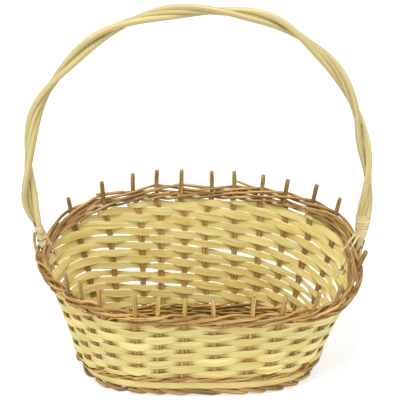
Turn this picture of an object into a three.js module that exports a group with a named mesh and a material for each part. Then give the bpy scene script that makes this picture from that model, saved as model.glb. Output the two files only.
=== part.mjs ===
// A woven willow gift basket with a high back, a low front and a fixed hoop handle.
// Millimetres. +X runs along the length to the right, +Y to the high back, +Z up.

import * as THREE from "three";

// Rim: plan shape and height of the top edge of the border.
const rimHalfLength = 198;
const rimHalfDepth = 109;
const rimSquareness = 2.5;
const rimRightSquareness = 0.17;
const rimBackShift = 4.5;
const rimMiddleHeight = 151;
const rimSlope = 0.32;
const rimEndDip = 8;
const rimLeftRise = 3.5;
const rimCornerPull = 6;
const rimCornerTurn = 1.17 * Math.PI;
const rimCornerReach = 0.42;

// Body: the plan shape that the wall stands on, and how the wall opens out towards the rim.
const bodyHalfLength = 149;
const bodyHalfDepth = 91;
const bodySquareness = 3.1;
const wallHollow = 0.45;
const bodyLevel = 12;

// Foot: the ring that the basket stands on, drawn in under the body.
const footInsetLength = 11;
const footInsetDepth = 4;
const footTop = 7;
const underCurveTop = 30;

// Rods, strips and the room that is left between pieces.
const stakeDiameter = 4.2;
const rimRodDiameter = 3.5;
const upsettRodDiameter = 2.8;
const footRodDiameter = 4;
const stripWidth = 8.8;
const stripThickness = 1.2;
const clearance = 0.35;
const curveClearance = 0.6;
const footFlat = 0.5;
const footCrossingGap = 0.9;
const footCrossingShare = 0.2;

// Levels of the weave.
const bandBottom = 8.8;
const bandWidth = 10.4;
const upsettBottom = 19.9;
const upsettPitch = 3.3;
const firstRow = 31;
const rowPitch = 9.3;
const rowCount = 15;
const borderDepth = 20;
const rimRodTop = 2.1;
const backTipHeight = 19;
const frontTipHeight = 20;
const leftTipHeight = 3;
const rightTipHeight = 10;
const stakeBottom = 1.2;

// Spacing of the uprights along the rim, measured from post to post.
// The first list runs over the back from the right handle foot to the left one,
// the second goes on round the left end, the front and the right end.
const backSpacings = [55, 33, 35, 33, 36, 28, 40, 31, 28, 43, 47, 58];
const frontSpacings = [33, 34, 35, 26, 26, 42, 31, 32, 32, 50, 36, 38, 33, 37, 39, 40];
const leftEndStakes = 2;
const rightEndStakes = 2;

// Handle: a hoop of two thick rods and a thin one laid in their groove.
const handleRightY = 25;
const handleLeftY = 25;
const hoopHalfWidth = 206;
const hoopWidestLevel = 226;
const hoopTop = 452;
const hoopSquareness = 2.16;
const hoopLowerReach = 228;
const hoopLowAngle = 0.35;
const hoopStart = 12;
const handleRodDiameter = 7;
const handleThinRodDiameter = 4.6;
const handleFootDiameter = 4.2;
const handleFootDepth = 42;
const handleHalfTurns = 8;
const handleTwistStart = 8;
const handleTaperLength = 14;

// Binding: a flat skein wound round the handle just above the rim.
const bindingWidth = 5;
const bindingThickness = 0.8;
const bindingTurns = 3.6;
const bindingPitch = 5.9;
const bindingStart = 7;
const bindingCrown = 1.5;

// Base: a close woven mat on sticks that run the length of the basket.
const matBottom = 9.6;
const matThickness = 3;
const matRelief = 1.1;
const matRoundPitch = 4.9;
const matRounds = 17;
const baseStickDiameter = 3.8;
const baseStickSpacing = 46;
const baseStickCount = 3;
const baseStickEndGap = 9;

// Fineness of the facets.
const stakeSides = 5;
const rodSides = 5;
const footSides = 6;
const handleSides = 6;
const hoopSteps = 24;
const handleSteps = 44;
const handleFootSteps = 9;
const bindingStepsPerTurn = 24;
const outlineSteps = 1440;
const stakeStep = 24;
const underCurveSteps = 6;

const TURN = 2 * Math.PI;

const palePeeled = new THREE.MeshStandardMaterial({ color: 0xe3d29b, roughness: 0.55, metalness: 0 });
const brownBark = new THREE.MeshStandardMaterial({ color: 0xa87a4d, roughness: 0.6, metalness: 0 });
const chipStrip = new THREE.MeshStandardMaterial({ color: 0xe0cc83, roughness: 0.6, metalness: 0 });
const skein = new THREE.MeshStandardMaterial({ color: 0xe8dcae, roughness: 0.5, metalness: 0 });

const basket = new THREE.Group();
const model = new THREE.Group();
basket.add(model);

function addPiece(name, geometry, material) {
  const mesh = new THREE.Mesh(geometry, material.clone());
  mesh.name = name;
  model.add(mesh);
}

// Surface through a row of sections, each a list of points in the same order.
// It is joined end to start when closed, and capped at both ends otherwise.
function sweep(sections, closed) {
  const points = sections[0].length;
  const positions = sections.flat().flatMap((point) => [point.x, point.y, point.z]);
  const faces = [];
  const spans = closed ? sections.length : sections.length - 1;
  for (let i = 0; i < spans; i++) {
    const here = i * points;
    const next = ((i + 1) % sections.length) * points;
    for (let k = 0; k < points; k++) {
      const after = (k + 1) % points;
      faces.push([here + k, here + after, next + after]);
      faces.push([here + k, next + after, next + k]);
    }
  }
  if (!closed) {
    const last = (sections.length - 1) * points;
    for (let k = 1; k < points - 1; k++) {
      faces.push([0, k + 1, k]);
      faces.push([last, last + k, last + k + 1]);
    }
  }
  return facingOut(positions, faces);
}

// Turns every face round when the enclosed volume comes out negative.
function facingOut(positions, faces) {
  const corner = (index) => new THREE.Vector3().fromArray(positions, 3 * index);
  let volume = 0;
  for (const [a, b, c] of faces) {
    volume += corner(a).dot(corner(b).cross(corner(c)));
  }
  const ordered = volume > 0 ? faces : faces.map(([a, b, c]) => [a, c, b]);
  const geometry = new THREE.BufferGeometry();
  geometry.setAttribute("position", new THREE.Float32BufferAttribute(positions, 3));
  geometry.setIndex(ordered.flat());
  geometry.computeVertexNormals();
  return geometry;
}

// Round section with its flat sides up and down in the plane of two unit vectors.
function roundSection(centre, across, up, radius, sides) {
  return Array.from({ length: sides }, (unused, k) => {
    const angle = (TURN * (k + 0.5)) / sides - TURN / 4;
    return centre
      .clone()
      .addScaledVector(across, radius * Math.cos(angle))
      .addScaledVector(up, radius * Math.sin(angle));
  });
}

function signedPower(value, power) {
  return Math.sign(value) * Math.abs(value) ** power;
}

function rimPoint(turn) {
  const power = 2 / (rimSquareness * (1 + rimRightSquareness * Math.cos(turn)));
  const lap = turn - Math.floor(turn / (2 * Math.PI)) * 2 * Math.PI;
  const pull = rimCornerPull * Math.exp(-(((lap - rimCornerTurn) / rimCornerReach) ** 2));
  const x = rimHalfLength * signedPower(Math.cos(turn), power) + pull;
  const y = rimBackShift + rimHalfDepth * signedPower(Math.sin(turn), power);
  const along = x / rimHalfLength;
  const z = rimMiddleHeight + rimSlope * y - rimEndDip * along * along - rimLeftRise * along;
  return new THREE.Vector3(x, y, z);
}

function rimTop(turn) {
  return rimPoint(turn).z;
}

// Middle surface of the wall: the body's plan shape at its level, opening to the rim's,
// and drawn in smoothly to the foot below.
function wallPoint(turn, z) {
  const rim = rimPoint(turn);
  const power = 2 / bodySquareness;
  const bodyX = bodyHalfLength * signedPower(Math.cos(turn), power);
  const bodyY = bodyHalfDepth * signedPower(Math.sin(turn), power);
  const rise = Math.max(0, (z - bodyLevel) / (rim.z - bodyLevel));
  const open = rise * (1 - wallHollow) + rise * rise * wallHollow;
  const tuck = 1 - THREE.MathUtils.smoothstep(z, footTop, underCurveTop);
  const tuckX = (tuck * footInsetLength * bodyX) / bodyHalfLength;
  const tuckY = (tuck * footInsetDepth * bodyY) / bodyHalfDepth;
  return new THREE.Vector3(
    bodyX + (rim.x - bodyX) * open - tuckX,
    bodyY + (rim.y - bodyY) * open - tuckY,
    z,
  );
}

function wallUp(turn, z) {
  const step = 0.5;
  return wallPoint(turn, z + step).sub(wallPoint(turn, z - step)).normalize();
}

function wallOut(turn, z) {
  const step = 0.002;
  const along = wallPoint(turn + step, z).sub(wallPoint(turn - step, z));
  return along.cross(wallUp(turn, z)).normalize();
}

function offWall(turn, z, offset) {
  return wallPoint(turn, z).addScaledVector(wallOut(turn, z), offset);
}

// Lengths along the rim, so that posts can be placed by their spacing.
const rimTurns = Array.from({ length: outlineSteps + 1 }, (unused, k) => (TURN * k) / outlineSteps);
const rimLengths = [0];
for (let k = 1; k <= outlineSteps; k++) {
  const span = rimPoint(rimTurns[k]).distanceTo(rimPoint(rimTurns[k - 1]));
  rimLengths.push(rimLengths[k - 1] + span);
}
const rimLength = rimLengths[outlineSteps];

function lengthAtTurn(turn) {
  const place = (turn / TURN) * outlineSteps;
  const low = Math.floor(place);
  return rimLengths[low] + (place - low) * (rimLengths[low + 1] - rimLengths[low]);
}

function turnAtLength(length) {
  const wrapped = ((length % rimLength) + rimLength) % rimLength;
  const high = Math.max(1, rimLengths.findIndex((value) => value >= wrapped));
  const share = (wrapped - rimLengths[high - 1]) / (rimLengths[high] - rimLengths[high - 1]);
  const laps = Math.floor(length / rimLength);
  return (TURN * (high - 1 + share)) / outlineSteps + TURN * laps;
}

// Place round the rim where it crosses a given Y, on the right or on the left end.
function turnAtY(y, onRight) {
  const found = rimTurns.filter((turn) => {
    const point = rimPoint(turn);
    return point.x > 0 === onRight && turn < TURN / 2 && Math.abs(Math.cos(turn)) > 0.5;
  });
  found.sort((a, b) => Math.abs(rimPoint(a).y - y) - Math.abs(rimPoint(b).y - y));
  return found[0];
}

function sum(values) {
  return values.reduce((total, value) => total + value, 0);
}

// Posts: everything upright that the weavers pass, in order round the rim.
const rightFootLength = lengthAtTurn(turnAtY(handleRightY, true));
const leftFootLength = lengthAtTurn(turnAtY(handleLeftY, false));
const posts = [];

function placePosts(spacings, start, reach, firstIsHandle) {
  let passed = 0;
  spacings.forEach((spacing, k) => {
    const length = start + (reach * passed) / sum(spacings);
    posts.push({ length, turn: turnAtLength(length), handle: firstIsHandle && k === 0 });
    passed += spacing;
  });
}

placePosts(backSpacings, rightFootLength, leftFootLength - rightFootLength, true);
placePosts(frontSpacings, leftFootLength, rimLength - leftFootLength + rightFootLength, true);

function halfWidth(post) {
  return post.handle ? handlePairOffset() : 0;
}

function handlePairOffset() {
  return (handleRodDiameter + clearance) / 2;
}

// Distance of the thin rod from the middle, in the groove between the thick ones.
function grooveOffset() {
  const reach = (handleRodDiameter + handleThinRodDiameter) / 2 + clearance;
  return Math.sqrt(reach * reach - handlePairOffset() ** 2) + clearance;
}

// Stations: each post and the point halfway to the next one.
const stations = posts.flatMap((post, k) => {
  const nextLength = k + 1 < posts.length ? posts[k + 1].length : posts[0].length + rimLength;
  const middle = (post.length + nextLength) / 2;
  return [
    { turn: post.turn, post: k },
    { turn: turnAtLength(middle), post: null },
  ];
});

// How far a weaver of a given half thickness swings in and out to pass a post.
function swing(station, z, weaverHalf) {
  const post = posts[station.post];
  const postHalf = (post.handle ? handleFootDiameter : stakeDiameter) / 2;
  const own = postHalf + weaverHalf + clearance;
  if (!post.handle) {
    return own;
  }
  const at = stations.indexOf(station);
  const gaps = [at - 1, at + 1].map((k) => {
    const neighbour = stations[(k + stations.length) % stations.length];
    return wallPoint(neighbour.turn, z).distanceTo(wallPoint(station.turn, z));
  });
  return own / (1 - (halfWidth(post) + 1) / Math.min(...gaps));
}

function weaverOffset(station, z, weaverHalf, parity) {
  if (station.post === null) {
    return 0;
  }
  const outside = (station.post + parity) % 2 === 0;
  return (outside ? 1 : -1) * swing(station, z, weaverHalf);
}

// Flat strip standing on the wall, with its edges at two or more heights.
function stripSection(turn, heights, offset, thickness) {
  const outer = heights.map((z) => offWall(turn, z, offset + thickness / 2));
  const inner = heights.map((z) => offWall(turn, z, offset - thickness / 2));
  return outer.concat(inner.reverse());
}

function rowHeights(turn, z) {
  const rise = (stripWidth / 2) * wallUp(turn, z).z;
  return [z - rise, z + rise];
}

function rowSection(station, z, parity) {
  const offset = weaverOffset(station, z, stripThickness / 2, parity);
  return stripSection(station.turn, rowHeights(station.turn, z), offset, stripThickness);
}

// Name of the stake at a post, counted from the left, and how far its tip stands up.
function stakeAt(k) {
  const backStakes = backSpacings.length - 1;
  if (k <= backStakes) {
    return { name: `stake_back_${backStakes + 1 - k}`, tip: backTipHeight };
  }
  const place = k - backStakes - 1;
  const frontStakes = frontSpacings.length - 1 - leftEndStakes - rightEndStakes;
  if (place <= leftEndStakes) {
    return { name: `stake_left_${place}`, tip: leftTipHeight };
  }
  if (place <= leftEndStakes + frontStakes) {
    return { name: `stake_front_${place - leftEndStakes}`, tip: frontTipHeight };
  }
  return { name: `stake_right_${place - leftEndStakes - frontStakes}`, tip: rightTipHeight };
}

// Upright rod that follows the wall from the foot to its cut tip above the border.
function addStakes() {
  posts.forEach((post, k) => {
    if (post.handle) {
      return;
    }
    const stake = stakeAt(k);
    const tip = rimTop(post.turn) + stake.tip;
    const heights = [stakeBottom];
    for (let step = 0; step <= underCurveSteps; step++) {
      heights.push(footTop + ((underCurveTop - footTop) * step) / underCurveSteps);
    }
    const steps = Math.ceil((tip - underCurveTop) / stakeStep);
    for (let step = 1; step <= steps; step++) {
      heights.push(underCurveTop + ((tip - underCurveTop) * step) / steps);
    }
    const sections = heights.map((z) => {
      const out = wallOut(post.turn, z);
      const across = wallUp(post.turn, z).cross(out);
      return roundSection(wallPoint(post.turn, z), across, out, stakeDiameter / 2, stakeSides);
    });
    addPiece(stake.name, sweep(sections, false), brownBark);
  });
}

// Rows of flat strip. Those too high for the low front end beside the border.
function addRows() {
  const reach = borderDepth + clearance + stripWidth / 2;
  for (let row = 0; row < rowCount; row++) {
    const z = firstRow + row * rowPitch;
    const fits = posts.map((post) => z + reach <= rimTop(post.turn));
    const name = `weave_strip_${String(row + 1).padStart(2, "0")}`;
    if (fits.every((fit) => fit)) {
      addPiece(name, sweep(stations.map((s) => rowSection(s, z, row)), true), chipStrip);
      continue;
    }
    const run = longestRun(fits);
    const sections = [];
    for (let k = 2 * run.first; k <= 2 * run.last; k++) {
      sections.push(rowSection(stations[(k + stations.length) % stations.length], z, row));
    }
    addPiece(name, sweep(sections, false), chipStrip);
  }
}

// Longest stretch of posts in a row that all fit, counted on past the last post.
function longestRun(fits) {
  const count = fits.length;
  let best = { first: 0, last: -1 };
  for (let first = 0; first < count; first++) {
    let last = first - 1;
    while (last + 1 < first + count && fits[(last + 1) % count]) {
      last += 1;
    }
    if (last - first > best.last - best.first) {
      best = { first, last };
    }
  }
  return best;
}

function addWovenRod(name, diameter, heightAt, parity) {
  const sections = stations.map((station) => {
    const z = heightAt(station.turn);
    const offset = weaverOffset(station, z, diameter / 2, parity);
    const out = wallOut(station.turn, z);
    const up = wallUp(station.turn, z);
    return roundSection(offWall(station.turn, z, offset), out, up, diameter / 2, rodSides);
  });
  addPiece(name, sweep(sections, true), brownBark);
}

// Border of round rods just under the tips.
function addBorder() {
  const names = ["rim_rod_top", "rim_rod_upper", "rim_rod_lower", "rim_rod_bottom"];
  const pitch = (borderDepth - 2 * rimRodTop) / (names.length - 1);
  names.forEach((name, k) => {
    addWovenRod(name, rimRodDiameter, (turn) => rimTop(turn) - rimRodTop - k * pitch, k);
  });
}

// Rods that set the stakes up from the base.
function addUpsett() {
  ["upsett_rod_lower", "upsett_rod_upper"].forEach((name, k) => {
    const z = upsettBottom + upsettRodDiameter / 2 + k * upsettPitch;
    addWovenRod(name, upsettRodDiameter, () => z, k);
  });
}

// Pale strip laid round the outside of the stakes, curving under to the foot.
function addBand() {
  const offset = stakeDiameter / 2 + stripThickness / 2 + curveClearance;
  const heights = [bandBottom, bandBottom + bandWidth / 2, bandBottom + bandWidth];
  const sections = stations.map((s) => stripSection(s.turn, heights, offset, stripThickness));
  addPiece("base_band", sweep(sections, true), chipStrip);
}

// Places along the foot border: each post and the level stretch of the next crossing.
function footStations() {
  return posts.flatMap((post, k) => {
    const nextLength = k + 1 < posts.length ? posts[k + 1].length : posts[0].length + rimLength;
    return [0, 0.5 - footCrossingShare / 2, 0.5 + footCrossingShare / 2].map((share) => ({
      turn: turnAtLength(post.length + share * (nextLength - post.length)),
      post: k,
      share,
    }));
  });
}

// Foot border: two rods twisted round each other with a stake in every half turn.
// What would reach below the floor is cut flat.
function addFoot() {
  const radius = footRodDiameter / 2;
  const low = radius * Math.cos(Math.PI / footSides) - footFlat;
  const high = low + footRodDiameter + footCrossingGap;
  const side = stakeDiameter / 2 + radius + clearance;
  const up = new THREE.Vector3(0, 0, 1);
  ["foot_rod_1", "foot_rod_2"].forEach((name, rod) => {
    const sections = footStations().map((station) => {
      const way = (station.post + rod) % 2 === 0 ? 1 : -1;
      const offset = way * side * (1 - 2 * station.share);
      const lift = station.share === 0 ? 0 : way;
      const z = (low + high - lift * (high - low)) / 2;
      const out = wallOut(station.turn, 0).setZ(0).normalize();
      const centre = wallPoint(station.turn, 0).setZ(z).addScaledVector(out, offset);
      const section = roundSection(centre, out, up, radius, footSides);
      return section.map((point) => point.setZ(Math.max(0, point.z)));
    });
    addPiece(name, sweep(sections, true), brownBark);
  });
}

// Round of the mat: its outline drawn in, up over one station and down under the next.
function matRound(number, top) {
  const edge = -(stakeDiameter / 2 + curveClearance);
  const inset = number * matRoundPitch;
  const lengthShare = 1 - inset / (bodyHalfLength - footInsetLength + edge);
  const depthShare = 1 - inset / (bodyHalfDepth - footInsetDepth + edge);
  return stations.map((station, k) => {
    const raised = (k + number) % 2 === 0;
    const level = top ? matThickness - (raised ? 0 : matRelief) : raised ? matRelief : 0;
    const point = offWall(station.turn, matBottom + level, edge);
    return new THREE.Vector3(point.x * lengthShare, point.y * depthShare, matBottom + level);
  });
}

// Base: the mat between the stakes and the sticks that it is woven on.
function addBase() {
  const numbers = Array.from({ length: matRounds }, (unused, k) => k);
  const topSide = numbers.map((number) => matRound(number, true));
  const underside = numbers.map((number) => matRound(number, false)).reverse();
  addPiece("base_mat", sweep(underside.concat(topSide), false), chipStrip);

  const z = matBottom - clearance - baseStickDiameter / 2;
  const radius = baseStickDiameter / 2;
  for (let k = 0; k < baseStickCount; k++) {
    const y = (k - (baseStickCount - 1) / 2) * baseStickSpacing;
    const share = 1 - Math.abs(y / (bodyHalfDepth - footInsetDepth)) ** bodySquareness;
    const reach = (bodyHalfLength - footInsetLength) * share ** (1 / bodySquareness) - baseStickEndGap;
    const across = new THREE.Vector3(0, 1, 0);
    const up = new THREE.Vector3(0, 0, 1);
    const ends = [-reach, reach].map((x) => new THREE.Vector3(x, y, z));
    const sections = ends.map((end) => roundSection(end, across, up, radius, footSides));
    addPiece(`base_stick_${k + 1}`, sweep(sections, false), brownBark);
  }
}

// Middle line of the handle: up the left wall, over the hoop and down the right wall.
function handleLine() {
  const leftPost = posts[backSpacings.length];
  const rightPost = posts[0];
  const footPoints = (post) =>
    [1, 0.5, 0].map((share) => wallPoint(post.turn, rimTop(post.turn) - share * handleFootDepth));
  const hoopPoints = [];
  for (let k = 0; k <= hoopSteps; k++) {
    const angle = ((Math.PI + 2 * hoopLowAngle) * k) / hoopSteps - hoopLowAngle;
    const rise = signedPower(Math.sin(angle), 2 / hoopSquareness);
    const x = -hoopHalfWidth * signedPower(Math.cos(angle), 2 / hoopSquareness);
    const z = hoopWidestLevel + rise * (rise > 0 ? hoopTop - hoopWidestLevel : hoopLowerReach);
    const share = (x + hoopHalfWidth) / (2 * hoopHalfWidth);
    const y = handleLeftY + (handleRightY - handleLeftY) * share;
    const foot = x < 0 ? leftPost : rightPost;
    if (z > rimTop(foot.turn) + hoopStart) {
      hoopPoints.push(new THREE.Vector3(x, y, z));
    }
  }
  const points = [...footPoints(leftPost), ...hoopPoints, ...footPoints(rightPost).reverse()];
  return new THREE.CatmullRomCurve3(points, false, "centripetal");
}

const line = handleLine();
line.arcLengthDivisions = 2000;
const lineLength = line.getLength();

// Horizontal direction of the wall at a handle foot, pointing to the back.
function wallBackward(post) {
  const along = new THREE.Vector3(0, 0, 1).cross(wallOut(post.turn, rimTop(post.turn))).normalize();
  return along.y < 0 ? along.negate() : along;
}

// Frame of the handle at a length along it: its place, its direction and two cross vectors.
// The pair of thick rods lies side by side along the wall at the feet.
function handleFrame(length) {
  const share = THREE.MathUtils.clamp(length / lineLength, 0, 1);
  const place = line.getPointAt(share);
  const ahead = line.getTangentAt(share);
  const foot = share < 0.5 ? posts[backSpacings.length] : posts[0];
  const fromEnd = Math.min(length, lineLength - length);
  const free = THREE.MathUtils.smoothstep(fromEnd, handleFootDepth, 2 * handleFootDepth);
  const side = wallBackward(foot).lerp(new THREE.Vector3(0, 1, 0), free);
  side.addScaledVector(ahead, -side.dot(ahead)).normalize();
  const out = new THREE.Vector3().crossVectors(side, ahead);
  return { place, ahead, side, out };
}

const twistFrom = handleFootDepth + handleTwistStart;

function handleTwist(length) {
  const share = (length - twistFrom) / (lineLength - 2 * twistFrom);
  return -Math.PI * handleHalfTurns * THREE.MathUtils.clamp(share, 0, 1);
}

// Place of a rod that keeps its angle in the twisted bundle.
function bundlePlace(length, angle, radius) {
  const frame = handleFrame(length);
  const turned = angle + handleTwist(length);
  return frame.place
    .clone()
    .addScaledVector(frame.side, radius * Math.cos(turned))
    .addScaledVector(frame.out, radius * Math.sin(turned));
}

// Lengths at which a handle rod has a section: close together up to where the twist starts,
// because the rods are bound there, and evenly over the hoop.
function handleLengths(start) {
  const feet = Array.from({ length: handleFootSteps }, (unused, k) => (twistFrom * k) / handleFootSteps);
  const hoop = Array.from({ length: handleSteps + 1 }, (unused, k) =>
    twistFrom + ((lineLength - 2 * twistFrom) * k) / handleSteps);
  const all = [...feet, ...hoop, ...feet.map((length) => lineLength - length).reverse()];
  return all.filter((length) => length >= start && length <= lineLength - start);
}

function rodSections(start, angle, radius, thicknessAt, sides) {
  return handleLengths(start).map((length) => {
    const frame = handleFrame(length);
    const centre = bundlePlace(length, angle, radius);
    return roundSection(centre, frame.side, frame.out, thicknessAt(length) / 2, sides);
  });
}

// Full thickness above the rim, tapered to the foot that is pushed into the weave.
function handleThickness(length) {
  const fromEnd = Math.min(length, lineLength - length);
  const grown = THREE.MathUtils.smoothstep(fromEnd, handleFootDepth, handleFootDepth + handleTaperLength);
  return handleFootDiameter + (handleRodDiameter - handleFootDiameter) * grown;
}

function addHandle() {
  const pair = handlePairOffset();
  ["handle_rod_front", "handle_rod_back"].forEach((name, k) => {
    const angle = Math.PI * (1 - k);
    const sections = rodSections(0, angle, pair, handleThickness, handleSides);
    addPiece(name, sweep(sections, false), palePeeled);
  });
  const groove = grooveOffset();
  const start = handleFootDepth + handleTaperLength / 2;
  const thin = () => handleThinRodDiameter;
  const sections = rodSections(start, Math.PI / 2, groove, thin, rodSides);
  addPiece("handle_rod_thin", sweep(sections, false), palePeeled);
}

// Skein wound round the bundle above each foot of the handle.
function addBindings() {
  const pairReach = handlePairOffset() + handleRodDiameter / 2;
  const thinReach = grooveOffset() + handleThinRodDiameter / 2;
  const radius = Math.max(pairReach, thinReach) + clearance + bindingThickness / 2;
  const steps = Math.round(bindingTurns * bindingStepsPerTurn);
  const bulge = 1 / Math.cos(Math.PI / bindingStepsPerTurn);
  ["handle_binding_left", "handle_binding_right"].forEach((name, end) => {
    const sections = Array.from({ length: steps + 1 }, (unused, k) => {
      const fromFoot = handleFootDepth + bindingStart + (k * bindingPitch) / bindingStepsPerTurn;
      const length = end === 0 ? fromFoot : lineLength - fromFoot;
      const frame = handleFrame(length);
      const angle = (TURN * k) / bindingStepsPerTurn;
      const away = frame.side.clone().multiplyScalar(Math.cos(angle));
      away.addScaledVector(frame.out, Math.sin(angle));
      const corners = [[-1, -1], [0, -1], [1, -1], [1, 1], [0, bindingCrown], [-1, 1]];
      return corners.map(([along, off]) =>
        frame.place
          .clone()
          .addScaledVector(away, bulge * (radius + (off * bindingThickness) / 2))
          .addScaledVector(frame.ahead, (along * bindingWidth) / 2),
      );
    });
    addPiece(name, sweep(sections, false), skein);
    console.log(`${name}: least gap between turns ${leastTurnGap(sections).toFixed(2)} mm`);
  });
}

// Least distance between two turns of a winding, on the points of its sections.
function leastTurnGap(sections) {
  let least = Infinity;
  sections.forEach((section, k) => {
    for (const other of sections.slice(k + bindingStepsPerTurn / 2).flat()) {
      least = Math.min(least, ...section.map((point) => point.distanceTo(other)));
    }
  });
  return least;
}

addFoot();
addBase();
addBand();
addUpsett();
addStakes();
addRows();
addBorder();
addHandle();
addBindings();

// The origin is under the middle of the whole basket, on the floor.
const extent = new THREE.Box3().setFromObject(model);
const middle = extent.getCenter(new THREE.Vector3());
model.position.set(-middle.x, -middle.y, -extent.min.z);

export default basket;
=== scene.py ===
"""Looks of the oval willow gift basket: woven chip walls, brown rods and a twisted hoop handle."""

import math

import bpy
import numpy as np
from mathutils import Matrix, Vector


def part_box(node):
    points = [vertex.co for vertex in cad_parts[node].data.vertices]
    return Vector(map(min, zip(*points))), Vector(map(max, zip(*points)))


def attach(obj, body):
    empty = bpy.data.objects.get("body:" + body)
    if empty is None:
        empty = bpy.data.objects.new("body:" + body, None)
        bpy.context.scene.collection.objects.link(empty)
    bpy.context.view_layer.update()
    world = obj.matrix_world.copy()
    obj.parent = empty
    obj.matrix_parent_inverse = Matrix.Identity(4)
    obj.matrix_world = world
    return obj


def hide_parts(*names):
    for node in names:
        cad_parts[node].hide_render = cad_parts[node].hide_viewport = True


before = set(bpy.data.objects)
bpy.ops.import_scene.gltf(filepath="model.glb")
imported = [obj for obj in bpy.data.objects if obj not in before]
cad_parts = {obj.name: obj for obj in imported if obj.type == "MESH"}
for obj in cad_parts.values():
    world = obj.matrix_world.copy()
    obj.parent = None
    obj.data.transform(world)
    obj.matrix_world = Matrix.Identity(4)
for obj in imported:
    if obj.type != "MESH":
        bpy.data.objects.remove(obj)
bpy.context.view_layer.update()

TURN = 2 * math.pi
MM = 0.001

# Rim: plan shape and height of the top edge of the border, in millimetres.
RIM_HALF_LENGTH = 198
RIM_HALF_DEPTH = 109
RIM_SQUARENESS = 2.5
RIM_RIGHT_SQUARENESS = 0.17
RIM_BACK_SHIFT = 4.5
RIM_MIDDLE_HEIGHT = 151
RIM_SLOPE = 0.32
RIM_END_DIP = 8
RIM_LEFT_RISE = 3.5
RIM_CORNER_PULL = 6
RIM_CORNER_TURN = 1.17 * math.pi
RIM_CORNER_REACH = 0.42

# Body and foot under it.
BODY_HALF_LENGTH = 149
BODY_HALF_DEPTH = 91
BODY_SQUARENESS = 3.1
WALL_HOLLOW = 0.45
BODY_LEVEL = 12
FOOT_INSET_LENGTH = 11
FOOT_INSET_DEPTH = 4
FOOT_TOP = 7
UNDER_CURVE_TOP = 30

# Posts round the rim: the uprights and the two feet of the handle.
BACK_SPACINGS = [55, 33, 35, 33, 36, 28, 40, 31, 28, 43, 47, 58]
FRONT_SPACINGS = [33, 34, 35, 26, 26, 42, 31, 32, 32, 50, 36, 38, 33, 37, 39, 40]
HANDLE_RIGHT_Y = 25
HANDLE_LEFT_Y = 25
POSTS = len(BACK_SPACINGS) + len(FRONT_SPACINGS)
LEFT_FOOT = len(BACK_SPACINGS)
STEPS_PER_POST = 12

# Sizes of rods and strips.
UPRIGHT_WIDTH = 4.5
UPRIGHT_DEPTH = 3.4
BESIDE_WIDTH = 3.4
BORDER_ROD = 3.7
UPSETT_ROD = 3.1
FOOT_ROD = 5.0
CHIP_FRONT_WIDTH = 11.4
CHIP_BACK_WIDTH = 11.0
CHIP_BACK_OUTSIDE_WIDTH = 9.4
CHIP_THICKNESS = 0.7
FIRST_ROW = 31
ROW_PITCH_FRONT = 9.0
ROW_PITCH_BACK = 9.4
ROWS = 15
BACK_BORDER = 20
FRONT_BORDER = 16.5

# Handle.
HOOP_HALF_WIDTH = 206
HOOP_WIDEST_LEVEL = 226
HOOP_TOP = 452
HOOP_SQUARENESS = 2.16
HOOP_LOWER_REACH = 228
HOOP_LOW_ANGLE = 0.35
HOOP_START = 12
HANDLE_FOOT_DEPTH = 42
HANDLE_ROD = 7.7
HANDLE_THIN_ROD = 5.3
HANDLE_FOOT_ROD = 4.2
HANDLE_NEST = 2.6

# Lengths at which one thick rod lies before the other, every half turn, on a handle of the
# length that they were measured for.
HANDLE_CROSSINGS = [50, 146, 266, 389, 497, 596, 706, 793, 881]
HANDLE_MEASURED_LENGTH = 931

# Irregular bends of the handle: length, shift to the inside of the hoop, and reach.
HANDLE_BENDS = [
    (60, 4.6, 22), (222, -3.8, 42), (300, 1.2, 30), (410, 1.2, 50), (555, -2.8, 38), (650, -1.2, 30),
    (745, 2.2, 36),
]


def signed_power(value, power):
    """Power of the size of a value, with the value's sign."""
    return np.sign(value) * np.abs(value) ** power


def smooth(low, high, value):
    """Rises from 0 at low to 1 at high as 3t^2 - 2t^3."""
    share = np.clip((value - low) / (high - low), 0, 1)
    return share * share * (3 - 2 * share)


def unit(vectors):
    """Vectors divided by their lengths."""
    return vectors / np.linalg.norm(vectors, axis=-1, keepdims=True)


def running_length(path):
    """Length along a path up to each of its points."""
    return np.concatenate([[0], np.cumsum(np.linalg.norm(np.diff(path, axis=0), axis=1))])


# Sizes and periods of the sines of a drift, as shares of the first.
DRIFT_SHARES = (1.0, 0.61, 0.37)


def drift(along, seed, period, amount):
    """Slow irregular drift: three sines of unlike periods with seeded phases."""
    phases = np.random.default_rng(seed).uniform(0, TURN, 3)
    waves = [
        share * np.sin(TURN * along / (period * share) + phase)
        for share, phase in zip(DRIFT_SHARES, phases)
    ]
    return amount * sum(waves) / sum(DRIFT_SHARES)


def rim_point(turn):
    """Rim: a superellipse in plan whose power grows to the right, pulled in at the left front
    corner and sloped from back to front."""
    power = 2 / (RIM_SQUARENESS * (1 + RIM_RIGHT_SQUARENESS * np.cos(turn)))
    pull = RIM_CORNER_PULL * np.exp(-(((turn % TURN - RIM_CORNER_TURN) / RIM_CORNER_REACH) ** 2))
    x = RIM_HALF_LENGTH * signed_power(np.cos(turn), power) + pull
    y = RIM_BACK_SHIFT + RIM_HALF_DEPTH * signed_power(np.sin(turn), power)
    along = x / RIM_HALF_LENGTH
    z = RIM_MIDDLE_HEIGHT + RIM_SLOPE * y - RIM_END_DIP * along**2 - RIM_LEFT_RISE * along
    return np.stack([x, y, z], -1)


def rim_top(turn):
    """Height of the top edge of the border."""
    return rim_point(turn)[..., 2]


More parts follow.
